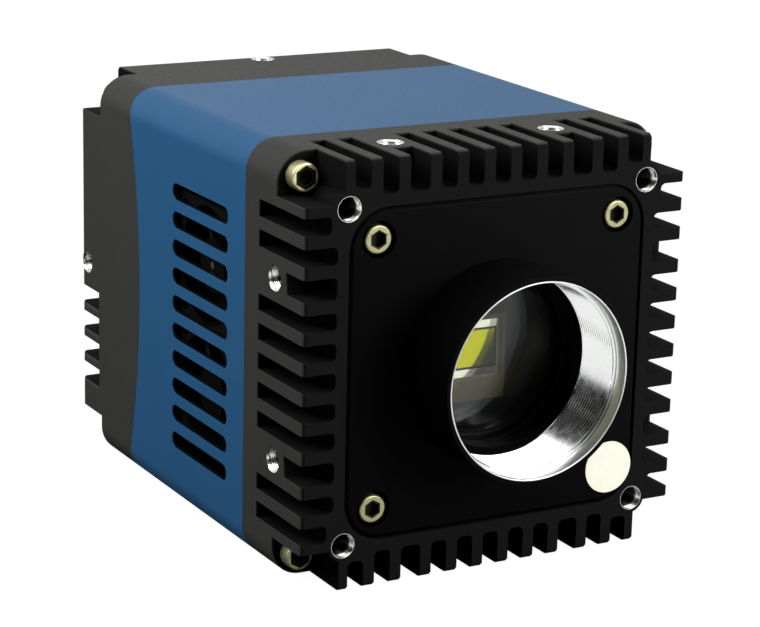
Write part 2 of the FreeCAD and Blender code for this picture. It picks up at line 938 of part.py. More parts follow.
def make_riser_board():
    y0, y1 = riser_ends()
    return block(riser_x - board_thickness / 2, riser_x + board_thickness / 2, y0, y1,
                 -riser_half_height, riser_half_height)


def make_riser_connectors():
    """An edge connector on each board, with a groove that takes the riser."""
    y0, y1 = riser_ends()
    x0 = riser_x - riser_plug_half
    x1 = riser_x + riser_plug_half
    half_z = riser_half_height + connector_wall
    front = block(x0, x1, main_board_back_y, main_board_back_y + riser_plug_height,
                  -half_z, half_z)
    back = block(x0, x1, interface_y - riser_plug_height, interface_y, -half_z, half_z)
    half_groove = board_thickness / 2 + running
    groove = block(riser_x - half_groove, riser_x + half_groove, y0, y1,
                   -riser_half_height - running, riser_half_height + running)
    return group([front.cut(groove), back.cut(groove)])


def make_interface_board():
    board = slab(interface_board_half, interface_board_half, interface_y, board_thickness)
    holes = at_corners(lambda x, z: rod(screw_radius + passing, interface_y - spill,
                                        interface_back_y + spill, x, z), plate_screw_place)
    return board.cut(holes)


def make_power_parts():
    """Chokes and a capacitor on the front of the interface board."""
    end = interface_y
    parts = []
    for index in range(choke_count):
        x = choke_start + index * choke_pitch
        parts.append(block(x - choke_radius, x + choke_radius, end - choke_height / 2, end,
                           power_z - choke_radius, power_z + choke_radius))
    parts.append(rod(choke_radius, end - choke_height, end, capacitor_x, power_z))
    return group(parts)


def data_places():
    return [(index - (data_count - 1) / 2) * data_pitch for index in range(data_count)]


def data_socket(x):
    """A coaxial socket barrel from the interface board out through the rear wall."""
    end = back_y + data_reach
    body = rod(data_radius, interface_back_y, end, x, data_z)
    collar = rod(data_radius + data_collar, interface_back_y, rear_wall_y, x, data_z)
    bore = rod(data_bore, end - data_bore_depth, end + spill, x, data_z)
    lug_x = data_radius + lug_reach
    lugs = block(x - lug_x, x + lug_x, end - lug_inset - lug_width, end - lug_inset,
                 data_z - lug_width / 2, data_z + lug_width / 2)
    return joined(body, [collar, lugs]).cut(bore)


def data_socket_pin(x):
    end = back_y + data_reach
    foot = rod(data_bore - data_foot_gap, end - data_bore_depth, end - data_bore_depth / 2, x, data_z)
    pin = rod(data_pin_radius, end - data_bore_depth / 2, end - data_pin_recess, x, data_z)
    return foot.fuse(pin)


def data_socket_nut(x):
    body = hexagon(nut_flats, back_y, back_y + nut_thickness, x, data_z)
    return body.cut(rod(data_radius + running, back_y - spill,
                        back_y + nut_thickness + spill, x, data_z))


def make_power_socket():
    """A round panel socket with a flange outside and a keyed barrel."""
    end = back_y + power_reach
    start = rear_wall_y - nut_thickness - power_thread_past
    body = rod(power_body_radius, start, back_y, power_x, power_z)
    flange = rod(power_flange_radius, back_y, back_y + power_flange_thickness, power_x, power_z)
    barrel = rod(power_barrel_radius, back_y, end, power_x, power_z)
    shell = joined(body, [flange, barrel])
    bore = rod(power_bore, start - spill, end + spill, power_x, power_z)
    key_z = power_z + power_bore
    key = block(power_x - power_key_half, power_x + power_key_half,
                back_y + power_key_start, end + spill,
                key_z - power_key_overlap, key_z + power_key_depth)
    return shell.cut([bore, key])


def power_pin_places():
    places = []
    rings = ((outer_pin_count, outer_pin_ring), (inner_pin_count, inner_pin_ring))
    for count, radius in rings:
        for index in range(count):
            angle = 2 * math.pi * index / count + math.pi / 2
            places.append((power_x + radius * math.cos(angle),
                           power_z + radius * math.sin(angle)))
    return places


def make_power_socket_insert():
    body = rod(power_bore - running, interface_back_y, back_y, power_x, power_z)
    start = back_y - power_pin_depth
    holes = [rod(power_pin_radius + running, start, back_y + spill, x, z)
             for x, z in power_pin_places()]
    return body.cut(holes)


def make_power_socket_pins():
    start = back_y - power_pin_depth
    end = back_y + power_reach - power_pin_recess
    return group([rod(power_pin_radius, start, end, x, z)
                  for x, z in power_pin_places()])


def make_power_socket_nut():
    y1 = rear_wall_y
    y0 = y1 - nut_thickness
    body = hexagon(power_nut_flats, y0, y1, power_x, power_z)
    return body.cut(rod(power_body_radius + running, y0 - spill, y1 + spill, power_x, power_z))


def make_status_light():
    """A clear light guide from the interface board to the rear face."""
    end = back_y + light_reach
    stem = rod(light_radius, interface_back_y, end, light_x, power_z)
    return stem.makeChamfer(light_chamfer, edges_at_depth(stem, end))


# The whole camera, node by node

def all_nodes():
    nodes = {}
    nodes["front_housing"] = make_front_housing()
    nodes["lens_plate"] = make_lens_plate()
    nodes["mount_ring"] = make_mount_ring()
    nodes["cover"] = make_cover()
    nodes["rear_housing"] = make_rear_housing()
    nodes["plate_screws"] = group(at_corners(
        lambda x, z: cap_screw(plate_seat_y, plate_screw_length, x, z), plate_screw_place))
    nodes["front_corner_screws"] = group(at_corners(
        lambda x, z: cap_screw(front_pocket_y, corner_screw_length, x, z), port_place))
    nodes["rear_corner_screws"] = group(at_corners(
        lambda x, z: cap_screw(rear_pocket_y, corner_screw_length, x, z, backward=True),
        port_place))
    nodes["front_face_inserts"] = group(at_corners(
        lambda x, z: ring(corner_insert_radius, insert_bore, face_y,
                          face_y + corner_hole_depth, x, z),
        corner_hole_place))
    nodes["side_inserts"] = group([
        insert_on_side(face_y + side_hole_back, side * wide_slot_place, quarter)
        for side in (-1, 1) for quarter in range(4)])
    nodes["rear_inserts"] = group([
        insert_on_side(back_y - rear_hole_inset, 0, quarter) for quarter in range(4)])
    nodes["round_sticker"] = rod(sticker_radius, face_y - sticker_thickness, face_y,
                                 sticker_x, sticker_z)
    nodes["window_gasket"] = ring(window_radius, aperture_radius, gasket_front_y, window_front_y)
    nodes["window_glass"] = rod(window_radius, window_front_y,
                                window_front_y + window_thickness)
    nodes["window_retainer"] = make_window_retainer()
    nodes["sensor_package"] = make_sensor_package()
    nodes["sensor_cover_glass"] = make_sensor_cover_glass()
    nodes["sensor_die"] = make_sensor_die()
    nodes["sensor_board"] = make_sensor_board()
    nodes["sensor_board_screws"] = group(at_corners(
        lambda x, z: pan_screw(sensor_board_back_y, sensor_screw_length, small_screw_radius,
                               small_head_radius, small_head_height, x, z, backward=True),
        sensor_screw_place))
    nodes["thermal_pad"] = slab(pad_half, pad_half, sensor_board_back_y, pad_thickness)
    nodes["heat_spreader"] = make_heat_spreader()
    nodes["sensor_plug"] = make_sensor_plug()
    nodes["sensor_receptacle"] = make_sensor_receptacle()
    nodes["board_standoffs"] = group(at_corners(standoff, plate_screw_place))
    nodes["board_screws"] = group(at_corners(board_screw, plate_screw_place))
    nodes["processor_board"] = make_processor_board()
    nodes["processor_chip"] = make_processor_chip()
    nodes["memory_chips"] = make_memory_chips()
    nodes["heat_sink"] = make_heat_sink()
    nodes["fan_bracket"] = make_fan_bracket()
    nodes["fan_screws"] = make_fan_screws()
    nodes["fan_bearings"] = group([set_fan(fan_bearing(), z) for name, z in fan_places()])
    nodes["fan_coils"] = group([set_fan(fan_coil(), z) for name, z in fan_places()])
    for name, z in fan_places():
        nodes[name + "_fan_frame"] = set_fan(fan_frame(), z)
        nodes[name + "_fan_rotor"] = set_fan(fan_rotor(), z)
        nodes[name + "_fan_shaft"] = set_fan(fan_shaft(), z)
    nodes["riser_board"] = make_riser_board()
    nodes["riser_connectors"] = make_riser_connectors()
    nodes["interface_board"] = make_interface_board()
    nodes["interface_board_screws"] = group(at_corners(
        lambda x, z: pan_screw(interface_y, board_screw_length, screw_radius,
                               board_head_radius, board_head_height, x, z), plate_screw_place))
    nodes["power_parts"] = make_power_parts()
    nodes["data_sockets"] = group([data_socket(x) for x in data_places()])
    nodes["data_socket_pins"] = group([data_socket_pin(x) for x in data_places()])
    nodes["data_socket_nuts"] = group([data_socket_nut(x) for x in data_places()])
    nodes["power_socket"] = make_power_socket()
    nodes["power_socket_insert"] = make_power_socket_insert()
    nodes["power_socket_pins"] = make_power_socket_pins()
    nodes["power_socket_nut"] = make_power_socket_nut()
    nodes["status_light"] = make_status_light()
    return nodes


os.makedirs("parts", exist_ok=True)
for node, shape in all_nodes().items():
    shape.exportStep("parts/" + node + ".step")
    print(node, len(shape.Solids), shape.isValid(), round(shape.Volume, 1))
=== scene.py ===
import json
import math

import bmesh
import bpy
from mathutils import Matrix, Vector


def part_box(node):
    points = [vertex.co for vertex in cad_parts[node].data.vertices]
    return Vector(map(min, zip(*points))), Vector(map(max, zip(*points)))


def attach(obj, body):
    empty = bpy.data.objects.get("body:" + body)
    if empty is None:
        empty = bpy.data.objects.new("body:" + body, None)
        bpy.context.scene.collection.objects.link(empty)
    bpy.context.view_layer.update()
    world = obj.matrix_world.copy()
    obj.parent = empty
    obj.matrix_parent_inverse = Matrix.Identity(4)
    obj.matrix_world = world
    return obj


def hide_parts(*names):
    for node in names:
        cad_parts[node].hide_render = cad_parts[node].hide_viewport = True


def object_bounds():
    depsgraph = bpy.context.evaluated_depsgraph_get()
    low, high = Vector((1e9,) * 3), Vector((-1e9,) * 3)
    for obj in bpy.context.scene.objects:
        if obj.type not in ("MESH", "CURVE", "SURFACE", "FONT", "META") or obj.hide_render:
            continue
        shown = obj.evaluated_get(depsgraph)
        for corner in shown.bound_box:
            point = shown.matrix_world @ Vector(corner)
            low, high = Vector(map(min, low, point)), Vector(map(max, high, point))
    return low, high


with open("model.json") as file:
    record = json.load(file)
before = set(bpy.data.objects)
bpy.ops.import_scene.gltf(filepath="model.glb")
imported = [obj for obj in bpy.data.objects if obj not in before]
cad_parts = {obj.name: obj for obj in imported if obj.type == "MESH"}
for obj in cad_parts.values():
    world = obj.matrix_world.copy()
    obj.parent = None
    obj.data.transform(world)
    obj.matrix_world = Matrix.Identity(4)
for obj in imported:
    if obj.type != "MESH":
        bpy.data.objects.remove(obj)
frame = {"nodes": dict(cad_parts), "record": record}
cad_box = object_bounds()

# Sizes in metres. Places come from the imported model's own boxes.
MM = 0.001
NODES = frame["nodes"]
CASING = "camera"

# Camera, from a fit to the photograph
CAMERA_PLACE = Vector((-243.69, -379.38, 135.33)) * MM
CAMERA_TURN = 29.025
CAMERA_DIP = 15.322
CAMERA_ROLL = -1.372
CAMERA_LENS = 124.45
CAMERA_SENSOR = 36.0

# Studio: how the surroundings show in reflections, each with the range over which it fades in
BACKDROP_EDGE = (-0.10, 0.15)
BACKDROP_LIGHT = 0.7
CEILING_EDGE = (0.70, 0.80)
SOFTBOX_WAY = (0.468, -0.650, 0.598)
SOFTBOX_EDGE = (0.80, 0.88)
SOFTBOX_LIGHT = 3.0
DARK_ROOM = 0.02
FILL_LIGHT = 0.10

# Lamps: place from the object's middle and width, both in metres, and power in watts
LEFT_LAMP = ((-0.27, 0.05, 0.27), 0.25, 1.45)
FRONT_LAMP = ((0.40, -0.75, 0.25), 0.35, 7.2)
BACK_LAMP = ((0.30, 0.80, 0.12), 0.35, 4.0)

# Floor: its size, and where it is bright or dark in reflections
FLOOR_HALF = 3.0
FLOOR_GAP = 0.02 * MM
FLOOR_GREY = 0.4
FLOOR_GLOW = 1.22
FLOOR_SHARE = 0.80
DARK_FLOOR = 0.03
FLOOR_FRONT_EDGE = (0.02, -0.02)
FLOOR_BACK_EDGE = (0.16, 0.24)
FLOOR_LEFT_EDGE = (-0.05, 0.03)

# The body's square section with its round corners
HALF_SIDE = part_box("front_housing")[1][0]
CORNER_RADIUS = 6.0 * MM
FACE_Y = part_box("front_housing")[0][1]
BACK_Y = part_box("rear_housing")[1][1]

# Softened edges
BEVEL_ANGLE = 38
CASTING_EDGE = 0.14 * MM
PLATE_EDGE = 0.14 * MM
PLATE_RIM = 0.70 * MM
PLATE_CORNER = 7.8 * MM
COVER_EDGE = 0.10 * MM
SCREW_EDGE = 0.12 * MM
SMALL_EDGE = 0.06 * MM
GLASS_EDGE = 0.03 * MM
GLASS_LIFT = 0.03 * MM

# Finishes and painted shade: how deep the outer skin and an end face reach before the finish changes
# and painted shade begins in slots, pockets and thread holes
CASTING_SKIN = (0.40 * MM, 0.12 * MM)
COVER_SKIN = (0.30 * MM, 0.10 * MM)
END_SKIN = (0.40 * MM, 0.10 * MM)
FACE_MOUTH = (2.0 * MM, 0.8 * MM)
SIDE_MOUTH = (2.2 * MM, 1.2 * MM)
CASTING_GLOSS = 0.10
HOLLOW_ROUGHNESS = 0.85
# painted shade: the near black that stands for the shade deep in slots and pockets
PAINTED_HOLLOW_SHADE = (0.0002, 0.0002, 0.0002)

# Liner of the lens mount, from its lip inwards
LINER_LIP = 0.12 * MM
REGISTER_RADIUS = 18.26 * MM
REGISTER_LENGTH = 2.9 * MM
REGISTER_ROUGHNESS = 0.42
GROOVE_WIDTH = 0.35 * MM
GROOVE_DEPTH = 0.10 * MM
LENS_THREAD_RADIUS = 17.60 * MM
LENS_THREAD_PITCH = 0.75 * MM
LENS_THREAD_DEPTH = 0.52 * MM
LINER_STEPS = 192

# Threaded inserts
HOLE_BORE = 2.07 * MM
HOLE_LIP = 0.06 * MM
HOLE_CHAMFER = 0.34 * MM
HOLE_THREAD_PITCH = 0.40 * MM
HOLE_THREAD_DEPTH = 0.24 * MM
HOLE_STEPS = 48
THREAD_SMOOTHING = 35

# Half widths of the painted shade in the screws' hexagon sockets, wider in the front pockets, the
# chip's border, and the polished ledge round it, beyond which the ceramic has painted shade
SOCKET_HALF = 1.60 * MM
POCKET_SHADE_SOCKET_HALF = 1.95 * MM
DIE_BORDER = 0.42 * MM
POLISHED_SIDE = 0.2 * MM
POLISHED_END = 1.4 * MM
CERAMIC_SHINE = 0.95


# Materials

def new_material(name, color, roughness, metallic=0.0, specular=0.5):
    """A material with plain values on the shader's own sockets."""
    material = bpy.data.materials.new(name)
    material.use_nodes = True
    shader = material.node_tree.nodes["Principled BSDF"]
    shader.inputs["Base Color"].default_value = (*color, 1.0)
    shader.inputs["Roughness"].default_value = roughness
    shader.inputs["Metallic"].default_value = metallic
    shader.inputs["Specular IOR Level"].default_value = specular
    return material


def shader_of(material):
    return material.node_tree.nodes["Principled BSDF"]


def noise(material, per_metre, detail=3.0, stretch=(1.0, 1.0, 1.0)):
    """Noise over the object's own space. Returns the socket of its value."""
    tree = material.node_tree
    place = tree.nodes.new("ShaderNodeTexCoord")
    mapping = tree.nodes.new("ShaderNodeMapping")
    mapping.inputs["Scale"].default_value = stretch
    texture = tree.nodes.new("ShaderNodeTexNoise")
    texture.inputs["Scale"].default_value = per_metre
    texture.inputs["Detail"].default_value = detail
    tree.links.new(place.outputs["Object"], mapping.inputs["Vector"])
    tree.links.new(mapping.outputs["Vector"], texture.inputs["Vector"])
    return texture.outputs["Fac"]


def shaded(color, share):
    """A colour with its parts scaled, none past 1."""
    return tuple(min(1.0, share * part) for part in color)


def vary_color(material, value, dark, light):
    """Blend between two close colours by a noise value."""
    tree = material.node_tree
    ramp = tree.nodes.new("ShaderNodeValToRGB")
    ramp.color_ramp.elements[0].position = 0.35
    ramp.color_ramp.elements[0].color = (*dark, 1.0)
    ramp.color_ramp.elements[1].position = 0.65
    ramp.color_ramp.elements[1].color = (*light, 1.0)
    tree.links.new(value, ramp.inputs["Fac"])
    tree.links.new(ramp.outputs["Color"], shader_of(material).inputs["Base Color"])


def vary_roughness(material, value, low, high):
    """Blend between two levels of roughness by a noise value."""
    tree = material.node_tree
    spread = tree.nodes.new("ShaderNodeMapRange")
    spread.inputs["From Min"].default_value = 0.3
    spread.inputs["From Max"].default_value = 0.7
    spread.inputs["To Min"].default_value = low
    spread.inputs["To Max"].default_value = high
    tree.links.new(value, spread.inputs["Value"])
    tree.links.new(spread.outputs["Result"], shader_of(material).inputs["Roughness"])


def add_bump(material, value, height, strength):
    """Fine relief. The height is in metres."""
    tree = material.node_tree
    bump = tree.nodes.new("ShaderNodeBump")
    bump.inputs["Strength"].default_value = strength
    bump.inputs["Distance"].default_value = height
    tree.links.new(value, bump.inputs["Height"])
    tree.links.new(bump.outputs["Normal"], shader_of(material).inputs["Normal"])


def math_node(tree, operation, first, second=None):
    """One arithmetic step. Each input is a socket or a number."""
    node = tree.nodes.new("ShaderNodeMath")
    node.operation = operation
    for index, value in enumerate((first, second)):
        if value is None:
            continue
        if isinstance(value, (int, float)):
            node.inputs[index].default_value = value
        else:
            tree.links.new(value, node.inputs[index])
    return node.outputs[0]


def object_axes(tree):
    """The X, Y and Z of a point in the object's own space."""
    place = tree.nodes.new("ShaderNodeTexCoord")
    axes = tree.nodes.new("ShaderNodeSeparateXYZ")
    tree.links.new(place.outputs["Object"], axes.inputs["Vector"])
    return axes.outputs


def rise(tree, value, low, high):
    """A smooth step from 0 to 1 as a value goes from low to high."""
    step = tree.nodes.new("ShaderNodeMapRange")
    step.interpolation_type = "SMOOTHSTEP"
    step.inputs["From Min"].default_value = low
    step.inputs["From Max"].default_value = high
    tree.links.new(value, step.inputs["Value"])
    return step.outputs["Result"]


def across_distance(tree, axes, place):
    """How far a point lies in X and in Z from the nearest of the places at plus and minus place."""
    return [math_node(tree, "SUBTRACT", math_node(tree, "ABSOLUTE", axes[axis]), place)
            for axis in ("X", "Z")]


def skin_mask(tree, low, high):
    """1 at the body's outer skin, 0 from a small depth inwards, as in its slots and pockets. It sets
    where painted shade begins.
    """
    axes = object_axes(tree)
    squares = []
    for beyond in across_distance(tree, axes, HALF_SIDE - CORNER_RADIUS):
        beyond = math_node(tree, "MAXIMUM", beyond, 0.0)
        squares.append(math_node(tree, "MULTIPLY", beyond, beyond))
    distance = math_node(tree, "SQRT", math_node(tree, "ADD", squares[0], squares[1]))
    return rise(tree, distance, CORNER_RADIUS - low, CORNER_RADIUS - high)


def blend_colors(tree, factor, first, second):
    """Mix two colours. Each is a socket or a colour."""
    mix = tree.nodes.new("ShaderNodeMix")
    mix.data_type = "RGBA"
    tree.links.new(factor, mix.inputs["Factor"])
    for name, value in (("A", first), ("B", second)):
        socket = [item for item in mix.inputs if item.name == name and item.type == "RGBA"][0]
        if isinstance(value, tuple):
            socket.default_value = (*value, 1.0)
        else:
            tree.links.new(value, socket)
    return [item for item in mix.outputs if item.type == "RGBA"][0]


def color_source(material):
    """The socket that now feeds the base colour."""
    return shader_of(material).inputs["Base Color"].links[0].from_socket


def feed_color(material, source):
    material.node_tree.links.new(source, shader_of(material).inputs["Base Color"])


def black_casting(name, dark, light, specular):
    """Matt black anodised aluminium with a fine blasted grain."""
    material = new_material(name, dark, 0.55, specular=specular)
    vary_color(material, noise(material, 260.0, 4.0), dark, light)
    vary_roughness(material, noise(material, 900.0), 0.50, 0.60)
    add_bump(material, noise(material, 5200.0, 2.0), 0.00001, 0.30)
    return material


def casting_with_painted_shade(name, dark, light, end_color, end_y, inwards):
    """A blasted casting whose outer skin keeps its own grey, while painted shade turns its slots and
    pockets black and its end face to the given end colour.
    """
    material = black_casting(name, dark, light, specular=CASTING_GLOSS)
    tree = material.node_tree
    end = rise(tree, object_axes(tree)["Y"], *[end_y + inwards * depth for depth in END_SKIN])
    # painted shade: near black deep in the hollows, the end colour at the end face
    inner = blend_colors(tree, end, PAINTED_HOLLOW_SHADE, end_color)
    skin = skin_mask(tree, *CASTING_SKIN)
    feed_color(material, blend_colors(tree, skin, inner, color_source(material)))
    inside = math_node(tree, "SUBTRACT", 1.0, skin)
    fine = shader_of(material).inputs["Roughness"].links[0].from_socket
    rough = math_node(tree, "MAXIMUM", fine, math_node(tree, "MULTIPLY", inside, HOLLOW_ROUGHNESS))
    tree.links.new(rough, shader_of(material).inputs["Roughness"])
    return material


def plate_black():
    """The lens plate's deep black, with painted light: a painted highlight makes it a little greyer
    towards its upper right corner, and painted shade darkens it towards its lower left.
    """
    material = black_casting("plate_black", (0.0036, 0.0036, 0.0036), (0.0042, 0.0042, 0.0042),
                             specular=0.02)
    tree = material.node_tree
    axes = object_axes(tree)
    # painted highlight and painted shade across the plate, by position
    painted_light_gradient = rise(tree, math_node(tree, "ADD", axes["X"], axes["Z"]), -0.03, 0.06)
    feed_color(material, blend_colors(tree, painted_light_gradient, (0.0006, 0.0006, 0.0006), color_source(material)))
    return material


def blue_anodised():
    """Satin blue anodised sleeve, with painted shade that turns its cut slots and its inside black."""
    material = new_material("blue_anodised", (0.018, 0.09, 0.21), 0.42, specular=0.15)
    vary_color(material, noise(material, 120.0, 4.0), (0.0175, 0.090, 0.208), (0.0185, 0.093, 0.214))
    vary_roughness(material, noise(material, 1400.0), 0.40, 0.46)
    add_bump(material, noise(material, 7000.0, 2.0), 0.000008, 0.25)
    tree = material.node_tree
    # painted shade: the sleeve's slots and inside turn near black
    feed_color(material, blend_colors(tree, skin_mask(tree, *COVER_SKIN), (0.001, 0.002, 0.003),
                                      color_source(material)))
    return material


def machined_aluminium():
    """Bright turned metal with faint tool marks round its axis."""
    material = new_material("machined_aluminium", (0.86, 0.87, 0.86), 0.18, metallic=1.0)
    tree = material.node_tree
    register = rise(tree, object_axes(tree)["Y"], REGISTER_LENGTH, REGISTER_LENGTH - 0.3 * MM)
    vary_roughness(material, noise(material, 600.0, 4.0), 0.14, 0.22)
    fine = shader_of(material).inputs["Roughness"].links[0].from_socket
    rough = math_node(tree, "MAXIMUM", fine, math_node(tree, "MULTIPLY", register, REGISTER_ROUGHNESS))
    tree.links.new(rough, shader_of(material).inputs["Roughness"])
    add_bump(material, noise(material, 900.0, 5.0, (0.25, 1.0, 0.25)), 0.00004, 0.35)
    return material


def bright_thread(name, mouth_mask):
    """Bright thread of an insert, with painted shade that turns it black with depth. The mask is 1 at
    the mouth.
    """
    material = new_material(name, (0.88, 0.89, 0.86), 0.22, metallic=1.0)
    vary_color(material, noise(material, 1500.0, 3.0), (0.84, 0.85, 0.82), (0.92, 0.92, 0.88))
    vary_roughness(material, noise(material, 1500.0, 3.0), 0.16, 0.30)
    tree = material.node_tree
    # painted shade: the thread turns near black away from its mouth
    feed_color(material, blend_colors(tree, mouth_mask(tree), (0.012, 0.012, 0.011),
                                      color_source(material)))
    return material


def face_mouth(tree):
    return rise(tree, object_axes(tree)["Y"], *[FACE_Y + depth for depth in FACE_MOUTH])


def side_mouth(tree):
    return skin_mask(tree, *SIDE_MOUTH)


def screw_metal(node, socket_half, shade):
    """Pale yellowish plated steel, brightened or dimmed by the shade factor as painted light, with
    painted shade that makes its hexagon socket black.
    """
    material = new_material(node + "_metal", (0.34, 0.33, 0.18), 0.36, metallic=0.85)
    # shade scales the plated colour as painted light: brighter for the front corner screws, dimmer for
    # the plate screws
    vary_color(material, noise(material, 900.0, 4.0), shaded((0.32, 0.31, 0.165), shade),
               shaded((0.36, 0.35, 0.195), shade))
    vary_roughness(material, noise(material, 2500.0, 3.0), 0.32, 0.44)
    tree = material.node_tree
    low, high = loose_boxes(node)[0]
    off_x, off_z = [math_node(tree, "ABSOLUTE", off) for off in
                    across_distance(tree, object_axes(tree), abs(low.x + high.x) / 2)]
    slanted = math_node(tree, "ADD", math_node(tree, "MULTIPLY", off_x, 0.5),
                        math_node(tree, "MULTIPLY", off_z, math.sqrt(0.75)))
    # painted shade: the hexagon socket and the given half width round it turn near black
    rim = rise(tree, math_node(tree, "MAXIMUM", off_x, slanted),
               socket_half - 0.06 * MM, socket_half)
    feed_color(material, blend_colors(tree, rim, (0.010, 0.010, 0.008), color_source(material)))
    return material


def sticker_white():
    material = new_material("sticker_white", (0.96, 0.96, 0.83), 0.40, specular=0.3)
    vary_color(material, noise(material, 500.0, 3.0), (0.95, 0.95, 0.80), (0.98, 0.98, 0.84))
    add_bump(material, noise(material, 2500.0, 2.0), 0.000006, 0.3)
    return material


def coated_glass(name, bend):
    """A thin clear pane whose coating keeps its reflection low."""
    material = new_material(name, (0.96, 0.98, 0.97), 0.0)
    shader = shader_of(material)
    shader.inputs["Transmission Weight"].default_value = 1.0
    shader.inputs["IOR"].default_value = bend
    vary_roughness(material, noise(material, 80.0, 2.0), 0.0, 0.012)
    return material


def sensor_mirror():
    """The polished chip: a yellow mirror in the middle, with a dark blue border."""
    material = new_material("sensor_mirror", (0.62, 0.60, 0.02), 0.05, metallic=1.0)
    tree = material.node_tree
    low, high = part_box("sensor_die")
    axes = object_axes(tree)
    in_x = math_node(tree, "LESS_THAN", math_node(tree, "ABSOLUTE", axes["X"]), high[0] - DIE_BORDER)
    in_z = math_node(tree, "LESS_THAN", math_node(tree, "ABSOLUTE", axes["Z"]), high[2] - DIE_BORDER)
    vary_color(material, noise(material, 2500.0, 2.0), (0.44, 0.42, 0.003), (0.48, 0.46, 0.005))
    feed_color(material, blend_colors(tree, math_node(tree, "MULTIPLY", in_x, in_z),
                                      (0.004, 0.012, 0.05), color_source(material)))
    return material


def package_ceramic():
    """Tan ceramic. The ledge under the chip's pane is polished; the walls and rim round it are dull,
    with painted shade that makes them dark.
    """
    material = grained("sensor_ceramic", (0.80, 0.74, 0.58), 0.04, metallic=CERAMIC_SHINE,
                       specular=0.12, spread=0.03)
    tree = material.node_tree
    low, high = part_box("sensor_die")
    axes = object_axes(tree)
    polished = rise(tree, axes["Y"], low[1] - 0.10 * MM, low[1] - 0.04 * MM)
    for axis, edge in (("X", high[0] + POLISHED_SIDE), ("Z", high[2] + POLISHED_END)):
        size = math_node(tree, "ABSOLUTE", axes[axis])
        polished = math_node(tree, "MULTIPLY", polished, rise(tree, size, edge + 0.1 * MM, edge))
    # painted shade: the ceramic off the polished ledge is dark
    feed_color(material, blend_colors(tree, polished, (0.064, 0.055, 0.030), color_source(material)))
    tree.links.new(math_node(tree, "MULTIPLY", polished, CERAMIC_SHINE),
                   shader_of(material).inputs["Metallic"])
    return material


def grained(name, color, roughness, metallic=0.0, specular=0.5, spread=0.12):
    """A plain finish with slight changes of colour and gloss."""
    material = new_material(name, color, roughness, metallic, specular)
    vary_color(material, noise(material, 700.0, 3.0), shaded(color, 1 - spread),
               shaded(color, 1 + spread))
    vary_roughness(material, noise(material, 1400.0, 2.0), roughness * 0.85, roughness * 1.15)
    return material


def circuit_board():
    """Black solder mask with faint copper tracks under it."""
    material = new_material("circuit_board", (0.004, 0.005, 0.006), 0.35, specular=0.2)
    tree = material.node_tree
    place = tree.nodes.new("ShaderNodeTexCoord")
    tracks = tree.nodes.new("ShaderNodeTexBrick")
    tracks.inputs["Scale"].default_value = 500.0
    tracks.inputs["Mortar Size"].default_value = 0.035
    tracks.inputs["Color1"].default_value = (0.003, 0.004, 0.005, 1.0)
    tracks.inputs["Color2"].default_value = (0.005, 0.006, 0.008, 1.0)
    tracks.inputs["Mortar"].default_value = (0.010, 0.013, 0.016, 1.0)
    turn = tree.nodes.new("ShaderNodeMapping")
    turn.inputs["Rotation"].default_value = (math.radians(90), 0.0, 0.0)
    tree.links.new(place.outputs["Object"], turn.inputs["Vector"])
    tree.links.new(turn.outputs["Vector"], tracks.inputs["Vector"])
    tree.links.new(tracks.outputs["Color"], shader_of(material).inputs["Base Color"])
    return material


# Geometry

def set_material(piece, material):
    piece.data.materials.clear()
    piece.data.materials.append(material)


def link_piece(name, mesh, material, body, nodes):
    """Add a mesh that stands for CAD nodes and rides on their body."""
    piece = bpy.data.objects.new(name, mesh)
    bpy.context.scene.collection.objects.link(piece)
    set_material(piece, material)
    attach(piece, body)
    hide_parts(*nodes)
    return piece


def apply_modifiers(piece):
    """Replace the piece's mesh with its finished one."""
    graph = bpy.context.evaluated_depsgraph_get()
    mesh = bpy.data.meshes.new_from_object(piece.evaluated_get(graph), depsgraph=graph)
    piece.modifiers.clear()
    piece.data = mesh


def chamfer_plate_rim(form):
    """Cut the front edge of the lens plate's outline to a slope."""
    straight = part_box("lens_plate")[1][0] - PLATE_CORNER
    rim = set()
    for vert in form.verts:
        beyond = [max(0.0, abs(size) - straight) for size in (vert.co.x, vert.co.z)]
        if abs(math.hypot(*beyond) - PLATE_CORNER) < 0.02 * MM:
            rim.add(vert)
    front = min(vert.co.y for vert in rim) + 0.02 * MM
    edges = [edge for edge in form.edges
             if all(vert in rim and vert.co.y < front for vert in edge.verts)]
    bmesh.ops.bevel(form, geom=edges, offset=PLATE_RIM, offset_type="OFFSET", segments=1,
                    affect="EDGES", clamp_overlap=True)


def softened(node, material, width, prepare=None):
    """The node's own shape with fine rounded edges, in place of its sharp mesh."""
    mesh = NODES[node].data.copy()
    form = bmesh.new()
    form.from_mesh(mesh)
    bmesh.ops.remove_doubles(form, verts=form.verts, dist=1e-7)
    bmesh.ops.dissolve_limit(form, angle_limit=math.radians(0.6), verts=form.verts,
                             edges=form.edges, use_dissolve_boundaries=False)
    if prepare is not None:
        prepare(form)
    for face in form.faces:
        face.smooth = True
    form.to_mesh(mesh)
    form.free()
    piece = link_piece(node + "_piece", mesh, material, CASING, [node])
    bevel = piece.modifiers.new("edges", "BEVEL")
    bevel.width = width
    bevel.segments = 2
    bevel.limit_method = "ANGLE"
    bevel.angle_limit = math.radians(BEVEL_ANGLE)
    bevel.use_clamp_overlap = True
    normals = piece.modifiers.new("normals", "WEIGHTED_NORMAL")
    normals.weight = 90
    normals.keep_sharp = False
    apply_modifiers(piece)
    return piece


